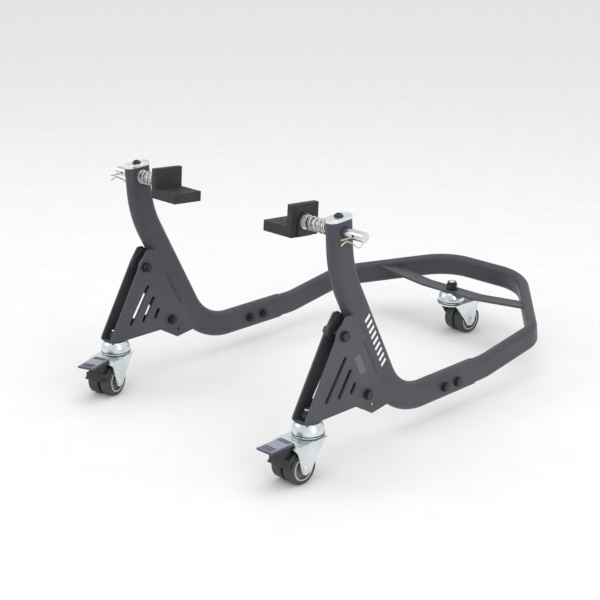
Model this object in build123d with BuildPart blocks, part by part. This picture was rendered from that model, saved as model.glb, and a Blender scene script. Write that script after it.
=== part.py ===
"""Rear paddock stand on three twin-wheel swivel casters.

Frame: millimetres, +Z up from the floor, +X to the right arm, +Y to the handle loop.
The open end that takes the motorcycle's rear wheel faces -Y.
Profiles seen from the side are written as (y, z) with y measured from the posts.
Caster profiles are written as (t, z) with t measured from the swivel axis along the trail.
"""
import os
from math import cos, radians, sin

from build123d import *

# ---------------------------------------------------------------- driving dimensions
POST_Y = -248.3            # where the posts stand along the stand
ARM_X = 228.5              # centre line of each arm from the middle of the stand

TUBE_LONG = 45.0           # flat-sided oval arm tube
TUBE_SHORT = 22.5
TUBE_WALL = 1.5
ARM_LINE = [(0.0, 370.5), (4.8, 292.4), (124.2, 53.4), (314.0, 53.4)]
ARM_BENDS = [182.0, 102.0]
RAIL_Z = 53.4              # centre line of the level part of the arm

LOOP_GAP = 0.2             # slip fit of the loop in the arm
LOOP_WALL = 1.5
LOOP_START = 222.0
LOOP_TURN_UP = 347.7
LOOP_CLIMB = 0.156
LOOP_SIDE = 480.0
LOOP_BACK = 638.0
LOOP_BACK_X = 87.0
LOOP_BENDS = [150.0, 45.0, 105.0]

BOLT_D = 7.9               # M8 frame bolts
BOLT_HOLE_D = 8.4
NUT_BORE_D = 8.0
BOLT_AF = 13.0
BOLT_HEAD = 5.3
NUT_H = 6.8
WASHER_D = 16.0
WASHER_T = 1.6
JOINT_BOLTS = [(233.5, RAIL_Z), (265.5, RAIL_Z)]
BRACKET_BOLTS = [(-1.0, 201.0), (50.0, 96.0)]

PLATE_T = 3.0              # caster bracket and lug plate
BRACKET_Z = 83.0           # underside of the caster brackets and the cross strap
BRACKET_OUTLINE = [(-78, 83), (-78, 90), (-10.5, 209), (4, 229), (15, 229), (83, 93), (86, 83)]
BRACKET_FLOOR = (-74.0, 24.0)
# middle of each slot and the centre of its upper end
SLOTS = [((-16.7, 137.0), (2.0, 165.0)), ((1.6, 125.7), (12.5, 142.8)), ((19.3, 114.2), (22.5, 119.5))]
SLOT_W = 7.0
UPPER_LUG = [(-14, 198), (-10, 210), (10, 226), (38, 226), (60, 182), (30, 178), (-4, 188)]
LOWER_LUG = [(29, 81.5), (64, 60), (100, 65), (128, 70), (99, 105), (88, 122), (60, 118), (30, 98)]
LUG_HOLE = (66.4, 74.0)
LUG_HOLE_D = 6.5

CAP_T = 5.0                # post cap with its welded nut boss
CAP_LIP = 0.5
CAP_BOSS_D = 15.0
CAP_BOSS_H = 5.0
SCREW_HEAD_D = 14.0        # M8 button head
SCREW_HEAD_H = 4.4
SCREW_SOCKET = 5.0

PIN_D = 15.0               # support pin through the post
PIN_GAP = 0.05
PIN_Y = 1.3
PIN_Z = 354.3
PIN_OUT = 51.0             # pin end, outwards from the arm's centre line
BUSH_D = 18.9
BUSH_HOLE_D = 19.0
CLIP_AT = 33.0             # clip hole, outwards from the arm's centre line
CLIP_HOLE_D = 4.4
CLIP_WIRE = 2.0
CLIP_RING = (6.0, 9.0)     # R-clip's round end: its middle past the pin's centre, and its radius
CLIP_LEG = 30.0            # straight leg's tip, before the pin's centre
CLIP_WAVE = [(-5.0, -11.9), (-20.0, -4.0), (-30.0, -9.0)]

SPRING_D = 22.0
SPRING_WIRE = 2.4
SPRING_TURNS = 6
PIN_WASHER_D = 22.4
PIN_WASHER_BORE = 15.6
PIN_WASHER_T = 1.5
TURN_GAP = 0.3             # gap at faces that move past each other

PAD_OUT = 69.0             # pad's outer face, inwards from the arm's centre line
PAD_IN = 127.0             # pad's inner end
PAD_Y = 2.0
PAD_DEPTH = 54.5
PAD_BELOW = 22.0           # below and above the pin's centre
PAD_ABOVE = 26.0
PAD_DROOP = 4.0            # degrees the pad hangs down at its rear end, about the pin
PAD_WALL = 10.0
PAD_SHELF = 16.0
CORE_T = 3.0
ARCH_T = 4.0
ARCH_R = 14.0
ARCH_PROUD = 1.5

STRAP_W = 30.0
STRAP_T = 4.0
STRAP_FLAT = 60.0
STRAP_CLIMB = 0.1

WHEEL_R = 25.0             # 50 mm twin wheels
HUB_R = 19.2
WHEEL_W = 18.8
WHEEL_GAP = 4.4
TRAIL = 30.5
AXLE_D = 8.0
AXLE_GAP = 0.05
AXLE_HEAD_D = 12.0
FORK_IN = 22.2             # inner faces of the fork legs, from the middle
FORK_T = 2.5
CROWN_Z = 59.5
SEAM_Z = 66.0
RACE_R = 24.3
STEM_D = 12.0
STEM_TOP = 102.0
STEM_NUT_AF = 18.0
STEM_NUT_H = 9.0
STEM_NUT_COLLAR = 4.0
STEM_WASHER_D = 22.0
FORK_LEG = [
    (-15, 62), (-12, 60), (-4.5, 52), (3.5, 41), (12, 29.5), (20, 17.5), (30.5, 15), (37.5, 20),
    (42.5, 41), (46.5, 53.5), (49.5, 57), (42, 62),
]
FORK_LIP = [(40, 59.5), (40, 62), (43, 62), (50, 58.5), (49, 56.5), (42.4, 59.5)]
TONGUE = [(48, 57.5), (52.5, 56.5), (54.5, 46)]
TONGUE_X = 6.5             # middle of the tongue, across the fork
TONGUE_W = 5.0

PEDAL_PIVOT = (42.0, 53.0)
PEDAL_PIN_D = 4.0
PEDAL_TRAVEL = 8.0         # degrees from off to the shoe on the tyres
PEDAL_HALF = 15.0
PEDAL_PLATE = [(42, 62.6), (42, 66), (88, 66), (90, 64.5), (90, 62.6)]
PEDAL_RIBS = [44.5, 48.0, 77.0, 81.0, 85.0]
SHOE_HALF = 20.0
SHOE_GAP = 0.35            # left between shoe and tyre when the pedal is down

# front pair trail towards -Y, the rear one towards +Y: (x, y, heading in degrees from +Y)
CASTERS = {
    "front_right": (ARM_X, -59.0, 178.5),
    "front_left": (-ARM_X, -59.0, 160.1),
    "rear": (0.0, 541.6, 4.4),
}
SIDES = {"right": 1, "left": -1}

# ---------------------------------------------------------------- worked-out values
FACE = TUBE_SHORT / 2
PLATE_FACE = FACE + PLATE_T
LOOP_LONG = TUBE_LONG - 2 * (TUBE_WALL + LOOP_GAP)
LOOP_SHORT = TUBE_SHORT - 2 * (TUBE_WALL + LOOP_GAP)
FORK_OUT = FORK_IN + FORK_T
POST_UP = Vector(0, ARM_LINE[0][0] - ARM_LINE[1][0], ARM_LINE[0][1] - ARM_LINE[1][1]).normalized()
PAD_FACE = PAD_OUT - ARCH_PROUD
PIN_AXIS = Axis((0, POST_Y + PIN_Y, PIN_Z), (1, 0, 0))
SPRING_FROM = FACE + PIN_WASHER_T
SPRING_TO = PAD_FACE - TURN_GAP - PIN_WASHER_T - TURN_GAP

os.makedirs("parts", exist_ok=True)


def save(builder, name):
    """Label a finished sub-part and write its STEP file."""
    builder.part.label = name
    export_step(builder.part, f"parts/{name}.step")


def side_view(x):
    """Sketch plane square to X at x: sketch (y, z), y measured from the posts."""
    return Plane(origin=(x, POST_Y, 0), x_dir=(0, 1, 0), z_dir=(1, 0, 0))


def end_view(y):
    """Sketch plane square to Y, y measured from the posts: sketch (x, z)."""
    return Plane(origin=(0, POST_Y + y, 0), x_dir=(1, 0, 0), z_dir=(0, -1, 0))


# ---------------------------------------------------------------- arms and handle loop
def oval_tube(points, bends, long_side, short_side, wall):
    """A flat-sided oval tube along a bent path, tall side upright; wall 0 makes it solid."""
    with BuildPart() as tube:
        with BuildLine() as path:
            FilletPolyline(*points, radius=bends)
        start = Plane(origin=path.line @ 0, x_dir=(1, 0, 0), z_dir=path.line % 0)
        with BuildSketch(start):
            SlotOverall(long_side, short_side, rotation=90)
            if wall:
                SlotOverall(long_side - 2 * wall, short_side - 2 * wall, rotation=90, mode=Mode.SUBTRACT)
        sweep(path=path.line)
    return tube.part


def arm_shape(side, wall):
    points = [(side * ARM_X, POST_Y + y, z) for y, z in ARM_LINE]
    return oval_tube(points, ARM_BENDS, TUBE_LONG, TUBE_SHORT, wall)


def loop_height(y):
    return RAIL_Z + LOOP_CLIMB * max(0, y - LOOP_TURN_UP)


def loop_shape(wall):
    corners = [(ARM_X, LOOP_START), (ARM_X, LOOP_TURN_UP), (ARM_X, LOOP_SIDE), (LOOP_BACK_X, LOOP_BACK)]
    right = [(x, POST_Y + y, loop_height(y)) for x, y in corners]
    left = [(-x, y, z) for x, y, z in reversed(right)]
    return oval_tube(right + left, LOOP_BENDS + LOOP_BENDS[::-1], LOOP_LONG, LOOP_SHORT, wall)


for name, side in SIDES.items():
    tube_shape = arm_shape(side, TUBE_WALL)
    with BuildPart() as arm:
        add(tube_shape)
        with BuildSketch(side_view(side * ARM_X)):
            with Locations((PIN_Y, PIN_Z)):
                Circle(BUSH_HOLE_D / 2)
            with Locations(*JOINT_BOLTS):
                Circle(BOLT_HOLE_D / 2)
        extrude(amount=TUBE_SHORT, both=True, mode=Mode.SUBTRACT)
    save(arm, f"arm_{name}")

loop_tube = loop_shape(LOOP_WALL)
with BuildPart() as handle_loop:
    add(loop_tube)
    with BuildSketch(side_view(0)):
        with Locations(*JOINT_BOLTS):
            Circle(BOLT_HOLE_D / 2)
    extrude(amount=ARM_X + TUBE_SHORT, both=True, mode=Mode.SUBTRACT)
save(handle_loop, "handle_loop")

# ---------------------------------------------------------------- cross strap
rear_y = CASTERS["rear"][1]
strap_reach = ARM_X - 40
strap_rise = BRACKET_Z + STRAP_CLIMB * (strap_reach - STRAP_FLAT)
strap_half = [(0, BRACKET_Z), (STRAP_FLAT, BRACKET_Z), (strap_reach, strap_rise)]
strap_top = [(x, z + STRAP_T) for x, z in reversed(strap_half)]
loop_solid = loop_shape(0)
with BuildPart() as cross_strap:
    with BuildSketch(end_view(rear_y)):
        with BuildLine():
            Polyline(*strap_half, *strap_top, close=True)
        make_face()
        mirror(about=Plane.YZ)
    extrude(amount=STRAP_W / 2, both=True)
    with BuildSketch(Plane.XY.offset(BRACKET_Z - 10)):
        with Locations((0, POST_Y + rear_y)):
            Circle(STEM_D / 2 + 0.2)
    extrude(amount=40, mode=Mode.SUBTRACT)
    add(loop_solid, mode=Mode.SUBTRACT)
middle_piece = cross_strap.solids().sort_by(lambda piece: abs(piece.center().X))[0]
with BuildPart() as strap_only:
    add(middle_piece)
save(strap_only, "cross_strap")

# ---------------------------------------------------------------- caster brackets and lugs
for name, side in SIDES.items():
    stem_x, stem_y, _ = CASTERS[f"front_{name}"]
    with BuildPart() as bracket:
        for hand in (1, -1):
            with BuildSketch(side_view(side * ARM_X + hand * FACE)) as plate:
                with BuildLine():
                    Polyline(*BRACKET_OUTLINE, close=True)
                make_face()
                fillet(plate.vertices().sort_by(Axis.X)[:2], 5)
                fillet(plate.vertices().group_by(Axis.Y)[-1], 5)
                for middle, end in SLOTS:
                    SlotCenterPoint(middle, end, SLOT_W, mode=Mode.SUBTRACT)
                with Locations(*BRACKET_BOLTS):
                    Circle(BOLT_HOLE_D / 2, mode=Mode.SUBTRACT)
            extrude(amount=hand * PLATE_T)
        front, back = BRACKET_FLOOR
        with BuildSketch(Plane.XY.offset(BRACKET_Z)):
            with Locations((side * ARM_X, POST_Y + (front + back) / 2)):
                Rectangle(2 * PLATE_FACE, back - front)
            with Locations((stem_x, POST_Y + stem_y)):
                Circle(STEM_D / 2 + 0.2, mode=Mode.SUBTRACT)
        extrude(amount=PLATE_T)
    save(bracket, f"caster_bracket_{name}")

for name, side in SIDES.items():
    arm_solid = arm_shape(side, 0)
    with BuildPart() as lugs:
        for hand in (1, -1):
            with BuildSketch(side_view(side * ARM_X + hand * FACE)):
                with BuildLine():
                    Polyline(*UPPER_LUG, close=True)
                make_face()
                with BuildLine():
                    Polyline(*LOWER_LUG, close=True)
                make_face()
                with Locations(*BRACKET_BOLTS):
                    Circle(BOLT_HOLE_D / 2, mode=Mode.SUBTRACT)
                with Locations(LUG_HOLE):
                    Circle(LUG_HOLE_D / 2, mode=Mode.SUBTRACT)
            extrude(amount=-hand * PLATE_T)
        add(arm_solid, mode=Mode.SUBTRACT)
    save(lugs, f"arm_lugs_{name}")

# ---------------------------------------------------------------- frame bolts, nuts, washers
# (side, y, z, face): every frame bolt, with its outer and inner clamping faces
FRAME_BOLTS = [(side, y, z, PLATE_FACE) for side in SIDES.values() for y, z in BRACKET_BOLTS]
FRAME_BOLTS += [(side, y, z, FACE) for side in SIDES.values() for y, z in JOINT_BOLTS]

with BuildPart() as frame_bolts:
    for side, y, z, face in FRAME_BOLTS:
        under_head = side_view(side * (ARM_X + face + WASHER_T))
        with BuildSketch(under_head):
            with Locations((y, z)):
                RegularPolygon(BOLT_AF / 2, 6, major_radius=False)
        extrude(amount=side * BOLT_HEAD, taper=4)
        with BuildSketch(under_head):
            with Locations((y, z)):
                Circle(BOLT_D / 2)
        extrude(amount=-side * (2 * (face + WASHER_T) + NUT_H + 2))
save(frame_bolts, "frame_bolts")

with BuildPart() as frame_nuts:
    for side, y, z, face in FRAME_BOLTS:
        with BuildSketch(side_view(side * (ARM_X - face - WASHER_T))):
            with Locations((y, z)):
                RegularPolygon(BOLT_AF / 2, 6, major_radius=False)
                Circle(NUT_BORE_D / 2, mode=Mode.SUBTRACT)
        extrude(amount=-side * NUT_H)
save(frame_nuts, "frame_nuts")

with BuildPart() as frame_washers:
    for side, y, z, face in FRAME_BOLTS:
        for hand in (1, -1):
            with BuildSketch(side_view(side * ARM_X + hand * face)):
                with Locations((y, z)):
                    Circle(WASHER_D / 2)
                    Circle(BOLT_HOLE_D / 2, mode=Mode.SUBTRACT)
            extrude(amount=hand * WASHER_T)
save(frame_washers, "frame_washers")

# ---------------------------------------------------------------- post caps
for name, side in SIDES.items():
    top = Plane(origin=(side * ARM_X, POST_Y, ARM_LINE[0][1]), x_dir=(1, 0, 0), z_dir=POST_UP)
    with BuildPart() as cap:
        with BuildSketch(top):
            SlotOverall(TUBE_LONG + 2 * CAP_LIP, TUBE_SHORT + 2 * CAP_LIP, rotation=90)
        extrude(amount=CAP_T)
        chamfer(cap.faces().sort_by(Axis.Z)[-1].edges(), 0.6)
        with BuildSketch(top):
            Circle(CAP_BOSS_D / 2)
        extrude(amount=-CAP_BOSS_H)
        with BuildSketch(top.offset(CAP_T)):
            Circle(NUT_BORE_D / 2)
        extrude(amount=-(CAP_BOSS_H + CAP_T), mode=Mode.SUBTRACT)
    save(cap, f"cap_plate_{name}")

with BuildPart() as cap_screws:
    for side in SIDES.values():
        seat = Vector(side * ARM_X, POST_Y, ARM_LINE[0][1]) + POST_UP * CAP_T
        seat_plane = Plane(origin=seat, x_dir=(1, 0, 0), z_dir=POST_UP)
        dome = [(0, 0), (SCREW_HEAD_D / 2, 0), (SCREW_HEAD_D / 2, 0.8)]
        with BuildSketch(Plane(origin=seat, x_dir=(1, 0, 0), z_dir=(0, -POST_UP.Z, POST_UP.Y))):
            with BuildLine():
                Polyline(*dome)
                ThreePointArc(dome[-1], (5.0, 3.3), (3.2, SCREW_HEAD_H))
                Polyline((3.2, SCREW_HEAD_H), (0, SCREW_HEAD_H), (0, 0))
            make_face()
        revolve(axis=Axis(seat, POST_UP))
        with BuildSketch(seat_plane.offset(SCREW_HEAD_H)):
            RegularPolygon(SCREW_SOCKET / 2, 6, major_radius=False)
        extrude(amount=-2.8, mode=Mode.SUBTRACT)
        with BuildSketch(seat_plane):
            Circle(BOLT_D / 2)
        extrude(amount=-(CAP_T + CAP_BOSS_H - 1))
save(cap_screws, "cap_screws")

# ---------------------------------------------------------------- support pins and springs
with BuildPart() as post_washers:
    for side in SIDES.values():
        with BuildSketch(side_view(side * (ARM_X - FACE))):
            with Locations((PIN_Y, PIN_Z)):
                Circle(PIN_WASHER_D / 2)
                Circle(PIN_WASHER_BORE / 2, mode=Mode.SUBTRACT)
        extrude(amount=-side * PIN_WASHER_T)
save(post_washers, "post_washers")


def pin_ring(x_from, x_to, outer_d, bore_d, side):
    """A round part on the pin's centre line between two distances inwards from the arm."""
    with BuildPart() as ring:
        with BuildSketch(side_view(side * (ARM_X - x_from))):
            with Locations((PIN_Y, PIN_Z)):
                Circle(outer_d / 2)
                Circle(bore_d / 2, mode=Mode.SUBTRACT)
        extrude(amount=side * (x_from - x_to))
    return ring


for name, side in SIDES.items():
    pin_bush = pin_ring(-FACE, FACE, BUSH_D, PIN_D + 2 * PIN_GAP, side)
    save(pin_bush, f"pin_bush_{name}")

    washer_from = PAD_FACE - TURN_GAP - PIN_WASHER_T
    pad_washer = pin_ring(washer_from, washer_from + PIN_WASHER_T, PIN_WASHER_D, PIN_WASHER_BORE, side)
    save(pad_washer, f"pad_washer_{name}")

    with BuildPart() as support_pin:
        with BuildSketch(side_view(side * (ARM_X - PAD_FACE - ARCH_T))):
            with Locations((PIN_Y, PIN_Z)):
                Circle(PIN_D / 2)
        extrude(amount=side * (PAD_FACE + ARCH_T + PIN_OUT))
        outer_end = support_pin.faces().filter_by(Axis.X).sort_by(Axis.X)[-1 if side > 0 else 0]
        chamfer(outer_end.edges(), 1)
        with BuildSketch(end_view(PIN_Y)):
            with Locations((side * (ARM_X + CLIP_AT), PIN_Z)):
                Circle(CLIP_HOLE_D / 2)
        extrude(amount=PIN_D, both=True, mode=Mode.SUBTRACT)
    save(support_pin, f"support_pin_{name}")

    with BuildPart() as spring:
        with BuildLine() as coil:
            Helix(
                pitch=(SPRING_TO - SPRING_FROM) / SPRING_TURNS,
                height=SPRING_TO - SPRING_FROM,
                radius=(SPRING_D - SPRING_WIRE) / 2,
                center=(side * (ARM_X - SPRING_FROM), POST_Y + PIN_Y, PIN_Z),
                direction=(-side, 0, 0),
            )
        with BuildSketch(Plane(origin=coil.line @ 0, z_dir=coil.line % 0)):
            Circle(SPRING_WIRE / 2)
        sweep(path=coil.line, is_frenet=True)
        with Locations((side * (ARM_X - (SPRING_FROM + SPRING_TO) / 2), POST_Y + PIN_Y, PIN_Z)):
            Box(SPRING_TO - SPRING_FROM, 2 * SPRING_D, 2 * SPRING_D, mode=Mode.INTERSECT)
    save(spring, f"spring_{name}")

    wire_low = -(CLIP_HOLE_D - CLIP_WIRE) / 2 + 0.1
    ring_y, ring_r = CLIP_RING
    ring_z = wire_low - ring_r
    leave = radians(-135)
    leave_at = (ring_y + ring_r * cos(leave), ring_z + ring_r * sin(leave))
    with BuildPart() as r_clip:
        clip_plane = side_view(side * (ARM_X + CLIP_AT))
        clip_plane = clip_plane.shift_origin(clip_plane.from_local_coords((PIN_Y, PIN_Z)))
        with BuildLine(clip_plane) as wire:
            Line((-CLIP_LEG, wire_low), (ring_y, wire_low))
            CenterArc((ring_y, ring_z), ring_r, 90, -225)
            FilletPolyline(leave_at, *CLIP_WAVE, radius=[10, 4])
        with BuildSketch(Plane(origin=wire.line @ 0, z_dir=wire.line % 0)):
            Circle(CLIP_WIRE / 2)
        sweep(path=wire.line)
    save(r_clip, f"r_clip_{name}")

# ---------------------------------------------------------------- lift pads
for name, side in SIDES.items():
    def across(distance):
        return side * (ARM_X - distance)

    with BuildPart() as pad_bracket:
        with BuildSketch(side_view(across(PAD_FACE))):
            with Locations((PIN_Y, PIN_Z)):
                Circle(ARCH_R)
            with Locations((PIN_Y, PIN_Z - PAD_BELOW / 2)):
                Rectangle(2 * ARCH_R, PAD_BELOW)
            with Locations((PIN_Y, PIN_Z)):
                Circle(PIN_D / 2, mode=Mode.SUBTRACT)
        extrude(amount=-side * ARCH_T)
        core_x = PAD_FACE + ARCH_T
        core_low = PIN_Z - PAD_BELOW + (PAD_SHELF - CORE_T) / 2
        with BuildSketch(end_view(PAD_Y)):
            with BuildLine():
                Polyline(
                    (across(core_x), PIN_Z + PAD_ABOVE - 3),
                    (across(core_x), core_low),
                    (across(PAD_IN - 3), core_low),
                    (across(PAD_IN - 3), core_low + CORE_T),
                    (across(core_x + CORE_T), core_low + CORE_T),
                    (across(core_x + CORE_T), PIN_Z + PAD_ABOVE - 3),
                    close=True,
                )
            make_face()
        extrude(amount=PAD_DEPTH / 2 - 3, both=True)

    with BuildPart() as rubber_pad:
        with BuildSketch(end_view(PAD_Y)):
            with BuildLine():
                Polyline(
                    (across(PAD_OUT), PIN_Z + PAD_ABOVE),
                    (across(PAD_OUT), PIN_Z - PAD_BELOW),
                    (across(PAD_IN), PIN_Z - PAD_BELOW),
                    (across(PAD_IN), PIN_Z - PAD_BELOW + PAD_SHELF),
                    (across(PAD_OUT + PAD_WALL), PIN_Z - PAD_BELOW + PAD_SHELF),
                    (across(PAD_OUT + PAD_WALL), PIN_Z + PAD_ABOVE),
                    close=True,
                )
            make_face()
        extrude(amount=PAD_DEPTH / 2, both=True)
        fillet(rubber_pad.edges().filter_by(Axis.Y).group_by(SortBy.DISTANCE)[-1], 1.5)
        chamfer(rubber_pad.faces().filter_by(Axis.Y).edges(), 0.8)
        seat_x = across((PAD_OUT + PAD_WALL + PAD_IN) / 2)
        with BuildSketch(Plane.XY.offset(PIN_Z - PAD_BELOW + PAD_SHELF)):
            with Locations((seat_x, POST_Y + PAD_Y)):
                with GridLocations(9, 13, 4, 3):
                    SlotOverall(8, 2, rotation=90)
        extrude(amount=-1, mode=Mode.SUBTRACT)
        add(pad_bracket.part, mode=Mode.SUBTRACT)
        with BuildSketch(side_view(across(PAD_OUT))):
            with Locations((PIN_Y, PIN_Z)):
                Circle(PIN_D / 2)
        extrude(amount=-side * (ARCH_T - ARCH_PROUD), mode=Mode.SUBTRACT)

    for level, piece in ((pad_bracket, "pad_bracket"), (rubber_pad, "rubber_pad")):
        with BuildPart() as hung:
            add(level.part.rotate(PIN_AXIS, -PAD_DROOP))
        save(hung, f"{piece}_{name}")


# ---------------------------------------------------------------- casters
def caster_axes(caster):
    x, y, heading = CASTERS[caster]
    angle = radians(heading)
    foot = Vector(x, POST_Y + y, 0)
    return foot, Vector(cos(angle), -sin(angle), 0), Vector(sin(angle), cos(angle), 0)


def wheel_view(caster, across_fork):
    """Sketch plane square to the axle: sketch (t, z)."""
    foot, axle, trail = caster_axes(caster)
    return Plane(origin=foot + axle * across_fork, x_dir=trail, z_dir=axle)


def top_view(caster, height):
    """Sketch plane level at a height: sketch (across the fork, t)."""
    foot, axle, _ = caster_axes(caster)
    return Plane(origin=foot + Vector(0, 0, height), x_dir=axle, z_dir=(0, 0, 1))


def slab(caster, points, x_from, x_to):
    """Extrude a (t, z) outline across the fork, into the part being built."""
    with BuildSketch(wheel_view(caster, x_from)) as outline:
        with BuildLine():
            Polyline(*points, close=True)
        make_face()
    extrude(outline.sketch, amount=x_to - x_from)


def rod(caster, centre, diameter, x_from, x_to, mode=Mode.ADD):
    """Extrude a disc about a (t, z) centre across the fork."""
    with BuildSketch(wheel_view(caster, x_from)) as disc:
        with Locations(centre):
            Circle(diameter / 2)
    extrude(disc.sketch, amount=x_to - x_from, mode=mode)


def spin(caster, profile):
    """Revolve an (r, z) outline about the swivel axis."""
    foot, axle, trail = caster_axes(caster)
    with BuildSketch(Plane(origin=foot, x_dir=trail, z_dir=axle)) as outline:
        with BuildLine():
            Polyline(*profile, close=True)
        make_face()
    revolve(outline.sketch, axis=Axis(foot, (0, 0, 1)))


def bracket_top(caster):
    return BRACKET_Z + (STRAP_T if caster == "rear" else PLATE_T)


bore = STEM_D / 2
with BuildPart() as king_pins:
    for caster in CASTERS:
        spin(caster, [
            (0, CROWN_Z - 3.3), (7, CROWN_Z - 3.3), (9, CROWN_Z - 1.8), (9, CROWN_Z - TURN_GAP),
            (bore, CROWN_Z - TURN_GAP), (bore, STEM_TOP - 1), (bore - 1, STEM_TOP), (0, STEM_TOP),
        ])
save(king_pins, "king_pins")

with BuildPart() as stem_nuts:
    for caster in CASTERS:
        seat_z = bracket_top(caster)
        with BuildSketch(top_view(caster, seat_z)):
            Circle(STEM_WASHER_D / 2)
            Circle(bore + 0.05, mode=Mode.SUBTRACT)
        extrude(amount=WASHER_T)
        with BuildSketch(top_view(caster, seat_z + WASHER_T)):
            RegularPolygon(STEM_NUT_AF / 2, 6, major_radius=False)
            Circle(bore + 0.05, mode=Mode.SUBTRACT)
        extrude(amount=STEM_NUT_H)
        with BuildSketch(top_view(caster, seat_z + WASHER_T + STEM_NUT_H)):
            Circle(STEM_NUT_AF / 2 - 0.8)
            Circle(bore + 0.05, mode=Mode.SUBTRACT)
        extrude(amount=STEM_NUT_COLLAR)
save(stem_nuts, "stem_nuts")

for caster in CASTERS:
    foot, axle, trail = caster_axes(caster)
    with BuildPart() as upper_race:
        spin(caster, [
            (bore + 0.05, SEAM_Z + 0.2), (RACE_R, SEAM_Z + 0.2), (RACE_R, 70), (RACE_R - 0.6, 74),
            (RACE_R - 1.9, 77.5), (RACE_R - 3.3, 80.3), (RACE_R - 4.6, 81.9), (RACE_R - 5.8, BRACKET_Z),
            (bore + 0.05, BRACKET_Z),
        ])
    save(upper_race, f"upper_race_{caster}")

    with BuildPart() as fork:
        spin(caster, [
            (bore + 0.05, CROWN_Z), (20, CROWN_Z), (20, 62), (RACE_R - 1, 63.5), (RACE_R + 0.2, 65.8),
            (bore + 0.05, 65.8),
        ])
        with BuildSketch(top_view(caster, CROWN_Z)):
            Circle(FORK_OUT)
            with Locations((0, 20.5)):
                Rectangle(2 * FORK_OUT, 43)
            Circle(bore + 0.05, mode=Mode.SUBTRACT)
        extrude(amount=62 - CROWN_Z)
        slab(caster, FORK_LEG, FORK_IN, FORK_OUT)
        slab(caster, FORK_LEG, -FORK_OUT, -FORK_IN)
        slab(caster, FORK_LIP, -FORK_OUT, FORK_OUT)
        rod(caster, (TRAIL, WHEEL_R), AXLE_D + 0.1, -FORK_OUT - 1, FORK_OUT + 1, Mode.SUBTRACT)
        if caster != "rear":
            with BuildLine(wheel_view(caster, TONGUE_X)) as tongue:
                FilletPolyline(*TONGUE, radius=2)
            with BuildSketch(Plane(origin=tongue.line @ 0, x_dir=axle, z_dir=tongue.line % 0)):
                Rectangle(TONGUE_W, 1.5)
            sweep(path=tongue.line)
            rod(caster, PEDAL_PIVOT, PEDAL_PIN_D + 0.1, -FORK_OUT - 1, FORK_OUT + 1, Mode.SUBTRACT)
    save(fork, f"fork_{caster}")

    with BuildPart() as axle_pin:
        rod(caster, (TRAIL, WHEEL_R), AXLE_D, -FORK_OUT - 1, FORK_OUT + 1)
        rod(caster, (TRAIL, WHEEL_R), AXLE_HEAD_D, FORK_OUT, FORK_OUT + 1.8)
        rod(caster, (TRAIL, WHEEL_R), AXLE_HEAD_D, -FORK_OUT, -FORK_OUT - 1.8)
    save(axle_pin, f"axle_{caster}")

    for wheel_name, hand in (("a", 1), ("b", -1)):
        near = hand * WHEEL_GAP / 2
        far = hand * (WHEEL_GAP / 2 + WHEEL_W)
        centre = (TRAIL, WHEEL_R)
        with BuildPart() as hub:
            rod(caster, centre, 2 * HUB_R, near, far)
            rod(caster, centre, 2 * (HUB_R - 2.5), far - hand * 5, far, Mode.SUBTRACT)
            rod(caster, centre, 16, far - hand * 5, far - hand * 1)
            rod(caster, centre, AXLE_D + 2 * AXLE_GAP, near, far, Mode.SUBTRACT)
        save(hub, f"hub_{caster}_{wheel_name}")
        with BuildPart() as tyre:
            rod(caster, centre, 2 * WHEEL_R, near, far)
            fillet(tyre.edges(), 2)
            rod(caster, centre, 2 * HUB_R, near, far, Mode.SUBTRACT)
        save(tyre, f"tyre_{caster}_{wheel_name}")

# ---------------------------------------------------------------- brake pedals of the front casters
turn = radians(PEDAL_TRAVEL)
pivot_t, pivot_z = PEDAL_PIVOT
arm_t, arm_z = TRAIL - pivot_t, WHEEL_R - pivot_z
shoe_t = pivot_t + arm_t * cos(turn) - arm_z * sin(turn)
shoe_z = pivot_z + arm_t * sin(turn) + arm_z * cos(turn)

for name in SIDES:
    caster = f"front_{name}"
    with BuildPart() as brake_pedal:
        slab(caster, PEDAL_PLATE, -PEDAL_HALF, PEDAL_HALF)
        fillet(brake_pedal.edges().filter_by(Axis.Z).sort_by_distance(caster_axes(caster)[0])[-2:], 2)
        for t in PEDAL_RIBS:
            slab(caster, [(t, 65.5), (t + 2, 65.5), (t + 2, 67), (t, 67)], -PEDAL_HALF + 2, PEDAL_HALF - 2)
    save(brake_pedal, f"brake_pedal_{name}")

    with BuildPart() as pedal_pin:
        rod(caster, PEDAL_PIVOT, PEDAL_PIN_D, -FORK_OUT - 0.8, FORK_OUT + 0.8)
    save(pedal_pin, f"pedal_pin_{name}")

    with BuildPart() as brake_shoe:
        slab(caster, [(42, 49.5), (46, 48), (58, 30), (64, 33.5), (60, 38), (60, 46), (42, 56.5)], -SHOE_HALF, 3)
        slab(caster, [(44, 44), (58, 30), (64, 33.5), (60, 38), (60, 43)], 3, SHOE_HALF)
        slab(caster, [(51.5, 50), (60, 45), (68, 57), (74, 62.6), (51.5, 62.6)], -PEDAL_HALF, 3)
        rod(caster, PEDAL_PIVOT, 7.4, -SHOE_HALF, 3)
        rod(caster, PEDAL_PIVOT, PEDAL_PIN_D + 0.1, -SHOE_HALF, 3, Mode.SUBTRACT)
        rod(caster, (shoe_t, shoe_z), 2 * (WHEEL_R + SHOE_GAP), -SHOE_HALF - 1, SHOE_HALF + 1, Mode.SUBTRACT)
    save(brake_shoe, f"brake_shoe_{name}")
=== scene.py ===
# %% [markdown]
# # A rear paddock stand
# The stand is two bent oval tubes with sprung lift pads on top, slotted brackets that carry
# two braked casters, and a handle loop with a third caster under its strap. The solid parts
# come from the CAD frame. This lesson gives each of them a finish, and models by hand what
# a CAD part doesn't carry well: pedal treads, wheel rings, weld beads, seals and stickers.

from math import pi, radians

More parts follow.
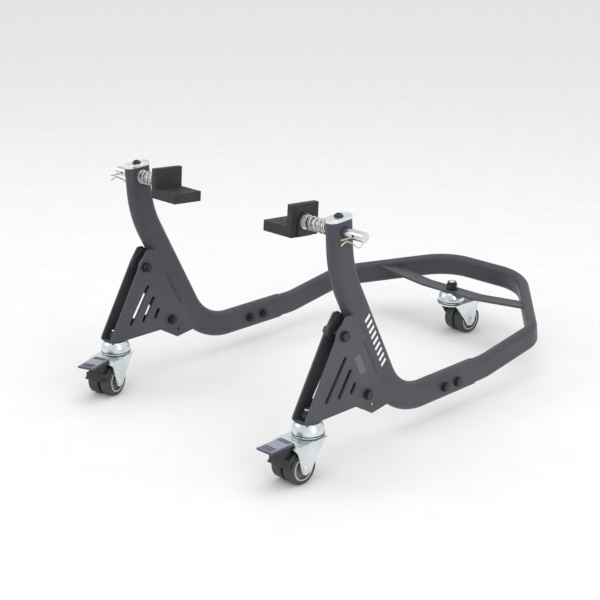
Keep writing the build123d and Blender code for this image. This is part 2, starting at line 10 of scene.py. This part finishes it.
import bmesh
import bpy
from mathutils import Euler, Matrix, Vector


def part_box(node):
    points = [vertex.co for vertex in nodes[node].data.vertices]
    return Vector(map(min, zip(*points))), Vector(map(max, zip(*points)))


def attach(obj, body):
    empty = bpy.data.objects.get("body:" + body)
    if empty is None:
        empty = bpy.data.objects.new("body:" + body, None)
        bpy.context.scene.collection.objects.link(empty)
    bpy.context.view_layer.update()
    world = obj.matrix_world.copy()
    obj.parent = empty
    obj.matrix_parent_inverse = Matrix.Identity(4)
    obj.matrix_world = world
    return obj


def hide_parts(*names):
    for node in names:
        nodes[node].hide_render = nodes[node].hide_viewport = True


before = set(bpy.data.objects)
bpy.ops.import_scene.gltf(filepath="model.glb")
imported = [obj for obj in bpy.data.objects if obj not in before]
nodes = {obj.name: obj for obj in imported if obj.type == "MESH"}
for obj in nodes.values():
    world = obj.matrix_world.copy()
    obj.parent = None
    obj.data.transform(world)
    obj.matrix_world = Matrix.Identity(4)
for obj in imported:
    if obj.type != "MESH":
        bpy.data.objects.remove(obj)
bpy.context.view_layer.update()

# %% [markdown]
# ## Camera, floor and light
# A long lens from the right, in front and a little above shows all three casters. The stand
# is dark on a white sweep, so the light is broad and soft: a bright world does most of the
# work, one large panel overhead draws the long soft highlights on the tubes, and a panel on
# the left keeps the inner faces readable.

# %% Camera
camera_data = bpy.data.cameras.new("camera")
camera_data.lens = 79.41
camera_data.sensor_width = 36.0
camera = bpy.data.objects.new("camera", camera_data)
bpy.context.scene.collection.objects.link(camera)
camera.location = (1.4641, -1.5336, 0.8661)
camera.rotation_euler = Euler((radians(90 - 19.016), 0, radians(45.605)))
camera_data.clip_start = 0.05
camera_data.clip_end = 50
bpy.context.scene.camera = camera
print("camera", tuple(camera.location), "lens", camera_data.lens)

# %% World and lamps
SKY_STRENGTH = 0.85


def area_lamp(name, place, aim, size, power, tint=(1, 1, 1)):
    """A square soft lamp at place that points to aim."""
    data = bpy.data.lights.new(name, "AREA")
    data.size = size
    data.energy = power
    data.color = tint
    lamp = bpy.data.objects.new(name, data)
    bpy.context.scene.collection.objects.link(lamp)
    lamp.location = place
    lamp.rotation_euler = (Vector(aim) - Vector(place)).to_track_quat("-Z", "Y").to_euler()
    return lamp


world = bpy.data.worlds.new("studio")
world.use_nodes = True
bpy.context.scene.world = world
world.node_tree.nodes["Background"].inputs["Color"].default_value = (1, 1, 1, 1)
world.node_tree.nodes["Background"].inputs["Strength"].default_value = SKY_STRENGTH
area_lamp("overhead", (0.2, 0.1, 2.4), (0, 0, 0.1), 1.8, 12)
area_lamp("left_panel", (-1.8, -1.6, 1.5), (0, 0, 0.2), 1.4, 8, (0.95, 0.97, 1.0))
area_lamp("right_panel", (2.4, -0.4, 1.3), (0, 0, 0.15), 1.2, 10, (1.0, 0.99, 0.97))
bpy.context.scene.view_settings.view_transform = "Standard"

# %% [markdown]
# ## Finishes
# Each finish is a small node tree on Object coordinates. One wide noise varies the colour,
# a finer one varies the gloss, and a very fine one is a bump: orange peel on the powder
# coat, drawing lines on the zinc, grain on rubber. The sizes are real ones, because the
# coordinates are in metres.

# %% Helpers for node trees


def new_finish(name):
    """A material, its Principled shader and its Object coordinates."""
    material = bpy.data.materials.new(name)
    material.use_nodes = True
    shader = material.node_tree.nodes["Principled BSDF"]
    coordinates = material.node_tree.nodes.new("ShaderNodeTexCoord")
    return material, shader, coordinates.outputs["Object"]


def noise(material, where, scale, detail=2.0, stretch=None):
    """A noise value; stretch scales each axis first, so that the grain runs one way."""
    tree = material.node_tree
    if stretch:
        mapping = tree.nodes.new("ShaderNodeMapping")
        mapping.inputs["Scale"].default_value = stretch
        tree.links.new(where, mapping.inputs["Vector"])
        where = mapping.outputs["Vector"]
    texture = tree.nodes.new("ShaderNodeTexNoise")
    texture.inputs["Scale"].default_value = scale
    texture.inputs["Detail"].default_value = detail
    tree.links.new(where, texture.inputs["Vector"])
    return texture.outputs["Fac"]


def blend_colours(material, value, low, high, low_at=0.35, high_at=0.65):
    """Low colour to high colour as value goes from low_at to high_at."""
    ramp = material.node_tree.nodes.new("ShaderNodeValToRGB")
    ramp.color_ramp.elements[0].position = low_at
    ramp.color_ramp.elements[0].color = (*low, 1)
    ramp.color_ramp.elements[1].position = high_at
    ramp.color_ramp.elements[1].color = (*high, 1)
    material.node_tree.links.new(value, ramp.inputs["Fac"])
    return ramp.outputs["Color"]


def spread(material, value, low, high):
    """Value from 0.3..0.7 spread to low..high."""
    node = material.node_tree.nodes.new("ShaderNodeMapRange")
    node.inputs["From Min"].default_value = 0.3
    node.inputs["From Max"].default_value = 0.7
    node.inputs["To Min"].default_value = low
    node.inputs["To Max"].default_value = high
    material.node_tree.links.new(value, node.inputs["Value"])
    return node.outputs["Result"]


def bump(material, shader, value, strength, height):
    """A bump of a height in metres from value."""
    node = material.node_tree.nodes.new("ShaderNodeBump")
    node.inputs["Strength"].default_value = strength
    node.inputs["Distance"].default_value = height
    material.node_tree.links.new(value, node.inputs["Height"])
    material.node_tree.links.new(node.outputs["Normal"], shader.inputs["Normal"])


# %% Painted, plated, rubber and plastic finishes


def finish(name, dark, light, rough, grain, metal=0.0, stretch=None, patch=14.0, specular=0.5):
    """A whole finish: two colours, a roughness range, and (scale, strength, height) of its grain."""
    material, shader, where = new_finish(name)
    links = material.node_tree.links
    patches = noise(material, where, patch, 4.0, stretch)
    links.new(blend_colours(material, patches, dark, light), shader.inputs["Base Color"])
    gloss = noise(material, where, patch * 6, 3.0, stretch)
    links.new(spread(material, gloss, *rough), shader.inputs["Roughness"])
    fine = noise(material, where, grain[0], 2.0, stretch)
    bump(material, shader, fine, grain[1], grain[2])
    shader.inputs["Metallic"].default_value = metal
    shader.inputs["Specular IOR Level"].default_value = specular
    return material


powder_coat = finish(
    "powder_coat", (0.040, 0.044, 0.056), (0.050, 0.054, 0.067),
    (0.42, 0.50), (900, 0.25, 0.0001),
)
bracket_coat = finish(
    "bracket_coat", (0.052, 0.054, 0.064), (0.066, 0.068, 0.078),
    (0.45, 0.55), (1100, 0.3, 0.0001),
)
# Lighter than the frame's powder coat: painted highlight for the strap's broad upward face; its lower
# roughness is real gloss.
strap_coat_with_highlight = finish(
    "strap_coat_with_highlight", (0.045, 0.050, 0.062), (0.058, 0.064, 0.078),
    (0.30, 0.38), (900, 0.2, 0.0001),
)
zinc = finish(
    "zinc", (0.66, 0.72, 0.74), (0.80, 0.84, 0.86),
    (0.22, 0.36), (260, 0.12, 0.0002), 1.0, None, 30,
)
bright_pin = finish(
    "bright_pin", (0.60, 0.63, 0.65), (0.76, 0.78, 0.80),
    (0.18, 0.30), (700, 0.2, 0.0001), 1.0, (1, 0.15, 0.15), 30,
)
spring_wire = finish(
    "spring_wire", (0.50, 0.44, 0.38), (0.72, 0.68, 0.64),
    (0.22, 0.36), (500, 0.15, 0.0001), 1.0, None, 60,
)
clip_wire = finish(
    "clip_wire", (0.62, 0.55, 0.38), (0.80, 0.76, 0.62),
    (0.20, 0.34), (500, 0.12, 0.0001), 1.0, None, 60,
)
black_steel = finish(
    "black_steel", (0.010, 0.010, 0.012), (0.022, 0.022, 0.026),
    (0.32, 0.48), (900, 0.3, 0.0001), 0.0, None, 80,
)
moulded_rubber = finish(
    "moulded_rubber", (0.014, 0.015, 0.016), (0.024, 0.025, 0.027),
    (0.55, 0.72), (1500, 0.5, 0.00012),
)
# Black seal plastic; on the pin bush its darkness is also painted shade, standing in for the shadow at
# the pin's base.
seal_black_and_bush_shade = finish(
    "seal_black_and_bush_shade", (0.004, 0.006, 0.006), (0.012, 0.016, 0.016),
    (0.3, 0.5), (900, 0.2, 0.0001),
)
shoe_plastic = finish(
    "shoe_plastic", (0.010, 0.010, 0.011), (0.020, 0.020, 0.022),
    (0.40, 0.55), (1300, 0.4, 0.0001),
)
tread_plastic = finish(
    "tread_plastic", (0.28, 0.29, 0.36), (0.38, 0.39, 0.47),
    (0.42, 0.55), (1300, 0.35, 0.0001),
)
# Dark pedal plastic: painted shade for the pedal's edges, which lie in shadow; the ribs use it too.
pedal_shaded_edge = finish(
    "pedal_shaded_edge", (0.055, 0.058, 0.075), (0.080, 0.083, 0.105),
    (0.42, 0.55), (1300, 0.35, 0.0001),
)
ring_plastic = finish(
    "ring_plastic", (0.42, 0.38, 0.35), (0.55, 0.51, 0.48),
    (0.40, 0.5), (900, 0.25, 0.0001),
)
weld_coat = finish(
    "weld_coat", (0.036, 0.040, 0.050), (0.052, 0.056, 0.068),
    (0.40, 0.52), (500, 0.5, 0.0002),
)
sticker_pale = finish(
    "sticker_pale", (0.74, 0.76, 0.80), (0.84, 0.86, 0.89),
    (0.35, 0.45), (700, 0.1, 0.00005),
)
sticker_grey = finish(
    "sticker_grey", (0.10, 0.105, 0.115), (0.13, 0.135, 0.145),
    (0.5, 0.6), (700, 0.1, 0.00005),
)
print("finishes", len(bpy.data.materials))

# %% [markdown]
# ## Wheels turn about their own axles
# A moulded tyre has rings all round it, left by the turned mould. The rings must follow each
# wheel, so the pattern is moved to the wheel's centre and turned to its axle before a wave
# texture draws them. The centre comes from the CAD box of the tyre.

# %% Ringed finishes centred on a wheel
CASTERS = {
    "front_right": (0.2285, -0.3073, 178.5),
    "front_left": (-0.2285, -0.3073, 160.1),
    "rear": (0.0, 0.2933, 4.4),
}
TRAIL = 0.0305
WHEEL_RADIUS = 0.025


def box_middle(node):
    low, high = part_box(node)
    return (low + high) / 2


def on_wheel(material, where, centre, heading):
    """Object coordinates with the origin at centre and X along the axle."""
    tree = material.node_tree
    mapping = tree.nodes.new("ShaderNodeMapping")
    mapping.vector_type = "TEXTURE"
    mapping.inputs["Location"].default_value = centre
    mapping.inputs["Rotation"].default_value = (0, 0, -radians(heading))
    tree.links.new(where, mapping.inputs["Vector"])
    return mapping.outputs["Vector"]


def ringed(name, centre, heading, dark, light, rough, ring_scale, depth):
    """A moulded finish with fine rings about the axle."""
    material, shader, where = new_finish(name)
    tree = material.node_tree
    local = on_wheel(material, where, centre, heading)
    wave = tree.nodes.new("ShaderNodeTexWave")
    wave.wave_type = "RINGS"
    wave.rings_direction = "X"
    wave.inputs["Scale"].default_value = ring_scale
    wave.inputs["Distortion"].default_value = 0.4
    tree.links.new(local, wave.inputs["Vector"])
    patches = noise(material, where, 60, 4.0)
    tree.links.new(blend_colours(material, patches, dark, light), shader.inputs["Base Color"])
    tree.links.new(spread(material, noise(material, where, 400), *rough), shader.inputs["Roughness"])
    bump(material, shader, wave.outputs["Fac"], 0.25, depth)
    return material


print("ring finishes follow", len(CASTERS), "casters")

# %% [markdown]
# ## Finish the CAD nodes
# Most of the stand keeps its CAD shape. Each node takes the finish that its name asks for.

# %% Give each CAD node its finish
FINISH_OF = {
    "arm_lugs": bracket_coat,
    "arm": powder_coat,
    "handle_loop": powder_coat,
    # The strap's finish is a lighter copy of the frame's coat, a painted highlight.
    "cross_strap": strap_coat_with_highlight,
    "caster_bracket": bracket_coat,
    "frame_": black_steel,
    "pad_bracket": black_steel,
    "rubber_pad": moulded_rubber,
    "cap_screws": black_steel,
    "cap_plate": zinc,
    "post_washers": zinc,
    "pad_washer": zinc,
    "king_pins": zinc,
    "upper_race": zinc,
    "fork": zinc,
    "axle": zinc,
    "pedal_pin": zinc,
    "stem_nuts": black_steel,
    "support_pin": bright_pin,
    # The bush is black plastic, and its dark ring is also painted shade for the shadow where the pin
    # enters the arm.
    "pin_bush": seal_black_and_bush_shade,
    "spring": spring_wire,
    "r_clip": clip_wire,
    "brake_shoe": shoe_plastic,
    "brake_pedal": pedal_shaded_edge,
}


TYRE_COLOURS = ((0.035, 0.035, 0.037), (0.055, 0.054, 0.056))
HUB_COLOURS = ((0.17, 0.135, 0.125), (0.24, 0.20, 0.185))


def wear(node, material):
    """Put one finish on every slot of a node."""
    mesh = nodes[node].data
    mesh.materials.clear()
    mesh.materials.append(material)


for node in nodes:
    for start, material in FINISH_OF.items():
        if node.startswith(start):
            wear(node, material)
            break
for caster, (_, _, heading) in CASTERS.items():
    for hand in "ab":
        tyre, hub = f"tyre_{caster}_{hand}", f"hub_{caster}_{hand}"
        centre = box_middle(tyre)
        dark, light = TYRE_COLOURS
        wear(tyre, ringed(tyre, centre, heading, dark, light, (0.5, 0.68), 900, 0.0001))
        dark, light = HUB_COLOURS
        wear(hub, ringed(hub, centre, heading, dark, light, (0.4, 0.55), 500, 0.0001))
bare = [node for node, part in nodes.items() if len(part.data.materials) != 1]
print("nodes without a finish:", bare)

# %% [markdown]
# ## Modelling by hand
# Every new piece starts as a primitive, is shaped in edit mode or with modifiers, and ends
# with its place applied, so that its object sits at the origin like the CAD nodes. Pieces on
# a caster are made upright at the origin first, and then turned to the way it trails.

# %% Helpers for modelling


def only(piece):
    """Select this piece alone and make it active."""
    bpy.ops.object.select_all(action="DESELECT")
    piece.select_set(True)
    bpy.context.view_layer.objects.active = piece


def settle(piece, material, body):
    """Apply the piece's place, face it outwards, smooth it and let it ride."""
    only(piece)
    bpy.ops.object.transform_apply(location=True, rotation=True, scale=True)
    bpy.ops.object.mode_set(mode="EDIT")
    bpy.ops.mesh.select_all(action="SELECT")
    bpy.ops.mesh.remove_doubles(threshold=0.000001)
    bpy.ops.mesh.normals_make_consistent(inside=False)
    bpy.ops.object.mode_set(mode="OBJECT")
    bpy.ops.object.shade_smooth_by_angle(angle=radians(35))
    piece.data.materials.clear()
    piece.data.materials.append(material)
    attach(piece, body)


def on_caster(piece, caster):
    """Move a piece made at the origin to its caster, turned to trail the same way."""
    x, y, heading = CASTERS[caster]
    only(piece)
    bpy.ops.object.transform_apply(location=True, rotation=True, scale=True)
    piece.location = (x, y, 0)
    piece.rotation_euler = (0, 0, -radians(heading))


def add_modifier(piece, kind, **settings):
    """Add a modifier, set it and apply it."""
    only(piece)
    modifier = piece.modifiers.new(kind.lower(), kind)
    for key, value in settings.items():
        setattr(modifier, key, value)
    bpy.ops.object.modifier_apply(modifier=modifier.name)


def plate(name, size, centre, corner, edge):
    """A flat plate with rounded corners (edges along Z) and softened edges."""
    bpy.ops.object.select_all(action="DESELECT")
    bpy.ops.mesh.primitive_cube_add(size=1, location=centre)
    piece = bpy.context.object
    piece.name = name
    piece.scale = size
    only(piece)
    bpy.ops.object.transform_apply(location=True, rotation=True, scale=True)
    bpy.ops.object.mode_set(mode="EDIT")
    bpy.ops.mesh.select_all(action="DESELECT")
    shape = bmesh.from_edit_mesh(piece.data)
    for e in shape.edges:
        e.select = abs((e.verts[0].co - e.verts[1].co).normalized().z) > 0.9
    bmesh.update_edit_mesh(piece.data)
    bpy.ops.mesh.bevel(offset=corner, segments=5, affect="EDGES")
    bpy.ops.object.mode_set(mode="OBJECT")
    add_modifier(piece, "BEVEL", width=edge, segments=3, limit_method="ANGLE", angle_limit=radians(50))
    return piece


print("helpers ready")

# %% [markdown]
# ## Brake pedals
# The pedal is a moulded lever with a pale tread plate let into its top, and cross ribs
# that stop a boot from sliding: three near the toe end and two by the hinge. The lever's dark
# colour is painted shade for the pedal's edges, which lie in shadow, and the ribs share it.
# The plate and the ribs are separate pieces, so each takes its own plastic.

# %% Pedal lever, tread plate and ribs
RIB_PLACES = (0.0455, 0.0505, 0.0765, 0.0810, 0.0855)
RIB_SIZE = (0.0215, 0.0017, 0.0012)
for name in ("right", "left"):
    caster, body = f"front_{name}", f"pedal_{name}"
    # The lever's dark colour is painted shade for the pedal's shaded edges.
    lever = plate(f"pedal_lever_{name}", (0.030, 0.0475, 0.0033), (0, 0.0660, 0.0642), 0.0022, 0.0007)
    on_caster(lever, caster)
    settle(lever, pedal_shaded_edge, body)
    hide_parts(f"brake_pedal_{name}")
    tread = plate(f"pedal_tread_{name}", (0.0272, 0.0445, 0.0008), (0, 0.0660, 0.0661), 0.0018, 0.0003)
    on_caster(tread, caster)
    settle(tread, tread_plastic, body)
    for number, along in enumerate(RIB_PLACES):
        rib = plate(f"pedal_rib_{name}_{number}", RIB_SIZE, (0, along, 0.0668), 0.0005, 0.0003)
        on_caster(rib, caster)
        settle(rib, pedal_shaded_edge, body)
print("pedals: 2 levers, 2 treads,", 2 * len(RIB_PLACES), "ribs")

# %% [markdown]
# ## Wheel rings
# Each hub is brown, with a pale moulded ring pressed over its rim on the outer side. The ring
# is a short cylinder whose two end faces are inset and bridged, which leaves a closed band.

# %% Pale rings on the outer rims
RING_OUT, RING_IN, RING_THICK = 0.0190, 0.0166, 0.0007
RING_FACE = 0.0022 + 0.0188


def band(name, centre, outer, inner, thick):
    """A closed flat ring square to X."""
    bpy.ops.object.select_all(action="DESELECT")
    bpy.ops.mesh.primitive_cylinder_add(
        vertices=96, radius=outer, depth=thick, location=centre, rotation=(0, pi / 2, 0)
    )
    piece = bpy.context.object
    piece.name = name
    bpy.ops.object.mode_set(mode="EDIT")
    bpy.ops.mesh.select_all(action="DESELECT")
    shape = bmesh.from_edit_mesh(piece.data)
    for face in shape.faces:
        face.select = len(face.verts) > 4
    bmesh.update_edit_mesh(piece.data)
    bpy.ops.mesh.inset(thickness=outer - inner, depth=0)
    bpy.ops.mesh.bridge_edge_loops()
    bpy.ops.object.mode_set(mode="OBJECT")
    add_modifier(
        piece, "BEVEL", width=thick * 0.45, segments=3, limit_method="ANGLE", angle_limit=radians(50)
    )
    return piece


for caster in CASTERS:
    for hand, side in (("a", 1), ("b", -1)):
        place = (side * RING_FACE, TRAIL, WHEEL_RADIUS)
        ring = band(f"rim_ring_{caster}_{hand}", place, RING_OUT, RING_IN, RING_THICK)
        on_caster(ring, caster)
        settle(ring, ring_plastic, f"wheel_{caster}_{hand}")
print("rim rings", 2 * len(CASTERS))

# %% [markdown]
# ## Swivel seals and rivets
# A thin black lip closes the gap between the fixed race and the turning cup. The axle ends
# are peened over into shallow domes.

# %% Seals and domed rivet heads
SEAM_HEIGHT = 0.0660
AXLE_END = 0.0264


def dome(name, centre, radius, height, side):
    """A shallow closed dome that faces along X."""
    bpy.ops.object.select_all(action="DESELECT")
    bpy.ops.mesh.primitive_uv_sphere_add(
        segments=40, ring_count=20, radius=1, location=(0, 0, 0), rotation=(0, pi / 2, 0)
    )
    piece = bpy.context.object
    piece.name = name
    only(piece)
    bpy.ops.object.transform_apply(location=True, rotation=True, scale=True)
    bpy.ops.object.mode_set(mode="EDIT")
    bpy.ops.mesh.select_all(action="SELECT")
    bpy.ops.mesh.bisect(plane_co=(0, 0, 0), plane_no=(-side, 0, 0), use_fill=True, clear_outer=True)
    bpy.ops.object.mode_set(mode="OBJECT")
    piece.scale = (height, radius, radius)
    piece.location = centre
    return piece


for caster, (x, y, heading) in CASTERS.items():
    seal = band(f"swivel_seal_{caster}", (0, 0, 0), 0.0246, 0.0242, 0.0011)
    seal.rotation_euler = (0, 0, 0)
    only(seal)
    bpy.ops.object.transform_apply(location=True, rotation=True, scale=True)
    seal.location = (x, y, SEAM_HEIGHT + 0.0008)
    settle(seal, seal_black_and_bush_shade, "frame")
    for number, side in enumerate((1, -1)):
        place = (side * AXLE_END, TRAIL, WHEEL_RADIUS)
        rivet = dome(f"axle_rivet_{caster}_{number}", place, 0.0052, 0.0014, side)
        on_caster(rivet, caster)
        settle(rivet, zinc, f"caster_{caster}")
print("seals", len(CASTERS), "rivets", 2 * len(CASTERS))

# %% [markdown]
# ## Weld beads
# The strap is welded inside the loop. A bead is a row of overlapping drops, one for each
# puddle of metal: a sphere is squashed, and an array modifier repeats it along the joint.

# %% Beads at the strap's ends


def bead(name, start, end, radius, material, slot):
    """A weld bead from start to end."""
    start, end = Vector(start), Vector(end)
    run = end - start
    count = max(2, round(run.length / (radius * 0.75)))
    bpy.ops.object.select_all(action="DESELECT")
    bpy.ops.mesh.primitive_uv_sphere_add(segments=20, ring_count=12, radius=radius, location=(0, 0, 0))
    piece = bpy.context.object
    piece.name = name
    piece.scale = (0.62, 1, 0.8)
    only(piece)
    bpy.ops.object.transform_apply(location=True, rotation=True, scale=True)
    step = run.length / (count - 1)
    add_modifier(piece, "ARRAY", count=count, use_relative_offset=False, use_constant_offset=True,
                 constant_offset_displace=(step, 0, 0))
    piece.rotation_mode = "QUATERNION"
    piece.rotation_quaternion = run.to_track_quat("X", "Z")
    piece.location = start
    settle(piece, material, "frame")
    return piece


STRAP_ENDS = (
    ((0.1725, 0.2800, 0.0980), (0.1480, 0.3065, 0.0956)),
    ((0.1725, 0.2800, 0.0945), (0.1480, 0.3065, 0.0918)),
)
for row, (front, back) in enumerate(STRAP_ENDS):
    for name, side in (("right", 1), ("left", -1)):
        ends = [(side * p[0], p[1], p[2]) for p in (front, back)]
        bead(f"strap_weld_{name}_{row}", *ends, 0.0019, weld_coat, "frame_coat")
print("strap welds", 2 * len(STRAP_ENDS))

# %% [markdown]
# ## Stickers
# The right arm carries a pale printed mark. It is drawn as plain slanted bars with no
# letters. The bracket has a small plain grey sticker. Both are thin plates laid on the steel.

# %% Slanted bars on the arm and a plain label on the bracket
ARM_X, FACE = 0.2285, 0.01125
LEG_FROM, LEG_TO = Vector((ARM_X + FACE, -0.1965, 0.2125)), Vector((ARM_X + FACE, -0.1600, 0.1340))


def flat_label(name, centre, width, height, turn, slant, material):
    """A thin parallelogram on a face that looks along +X; turn leans it towards +Y."""
    bpy.ops.object.select_all(action="DESELECT")
    bpy.ops.mesh.primitive_cube_add(size=1, location=(0, 0, 0))
    piece = bpy.context.object
    piece.name = name
    piece.scale = (0.00025, width, height)
    only(piece)
    bpy.ops.object.transform_apply(location=True, rotation=True, scale=True)
    bpy.ops.object.mode_set(mode="EDIT")
    bpy.ops.mesh.select_all(action="DESELECT")
    shape = bmesh.from_edit_mesh(piece.data)
    for corner in shape.verts:
        corner.select = corner.co.y > 0
    bmesh.update_edit_mesh(piece.data)
    bpy.ops.transform.translate(value=(0, 0, slant))
    bpy.ops.object.mode_set(mode="OBJECT")
    piece.rotation_euler = (turn, 0, 0)
    piece.location = centre
    settle(piece, material, "frame")
    return piece


BARS = 9
lean = radians(26.5)
for number in range(BARS):
    place = LEG_FROM.lerp(LEG_TO, number / (BARS - 1)) + Vector((0.0001, 0, 0))
    flat_label(f"arm_bar_{number}", place, 0.0125, 0.0048, lean, 0.004, sticker_pale)
label_place = (ARM_X + FACE + 0.0031, -0.2153, 0.1480)
flat_label("bracket_label", label_place, 0.012, 0.034, lean, 0.0, sticker_grey)
print("stickers", BARS + 1)

# %% [markdown]
# ## The floor
# The stand is on a white sweep. A plane far wider than the view gives the wheels something
# to stand on and to shade.

# %% A wide plain floor
bpy.ops.object.select_all(action="DESELECT")
bpy.ops.mesh.primitive_plane_add(size=60, location=(0, 0, 0))
floor = bpy.context.object
floor.name = "floor"
white = finish(
    "floor_white", (0.90, 0.90, 0.90), (0.92, 0.92, 0.92), (0.8, 0.9), (40, 0.02, 0.0001), specular=0.0
)
floor.data.materials.append(white)
print("floor", floor.dimensions[0], "m wide")
